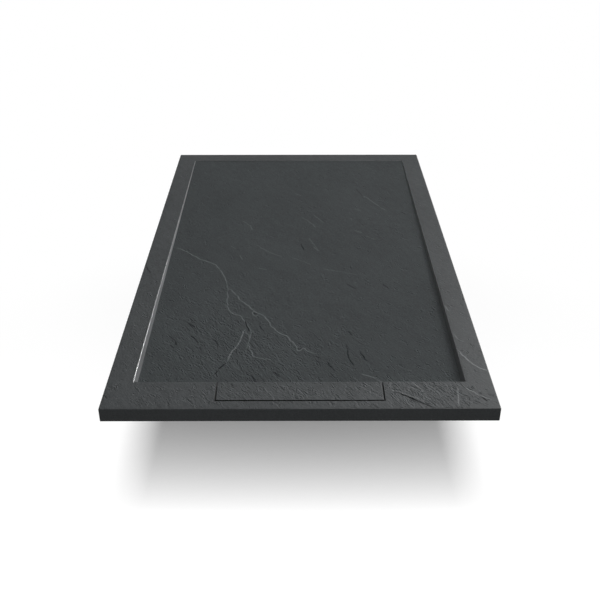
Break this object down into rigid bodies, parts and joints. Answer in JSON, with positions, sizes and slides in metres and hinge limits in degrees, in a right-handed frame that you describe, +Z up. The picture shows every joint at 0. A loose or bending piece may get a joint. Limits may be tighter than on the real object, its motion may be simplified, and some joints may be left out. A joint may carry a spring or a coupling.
{
  "type": "shower tray",
  "caption": "Framed rectangular slate-effect shower tray with a flat rim, a falling floor and a concealed waste under a flush lift-off cover at one short end.",
  "frame": {"origin": "centre of the slab's flat underside, which is the level that the tray is bedded on", "axes": "+X across the tray, +Y along it from the drain end to the far end, +Z up"},
  "size_m": [0.8, 1.4, 0.055],
  "materials": {
    "slate_stone": "riven, matt",
    "cover_stone": "riven, matt",
    "pad_rubber": "matt",
    "plated_brass": "polished",
    "seal_rubber": "matt",
    "slip_plastic": "matt",
    "nut_brass": "machined",
    "strainer_steel": "brushed"
  },
  "bodies": {
    "tray": {"tray_slab": "slate_stone", "waste_flange": "plated_brass", "flange_gasket": "seal_rubber", "underside_washer": "seal_rubber", "slip_washer": "slip_plastic", "backnut": "nut_brass"},
    "cover": {"drain_cover": "cover_stone", "cover_pads": "pad_rubber"},
    "strainer": {"hair_strainer": "strainer_steel"}
  },
  "joints": [
    {"name": "cover_lift", "type": "slide", "parent": "tray", "child": "cover", "axis": [0, 0, 1], "range_m": [0, 0.12]},
    {"name": "strainer_lift", "type": "slide", "parent": "tray", "child": "strainer", "axis": [0, 0, 1], "range_m": [0, 0.06]}
  ],
  "couplings": [
    {"joint": "strainer_lift", "follows": "cover_lift", "ratio": 0.5}
  ]
}
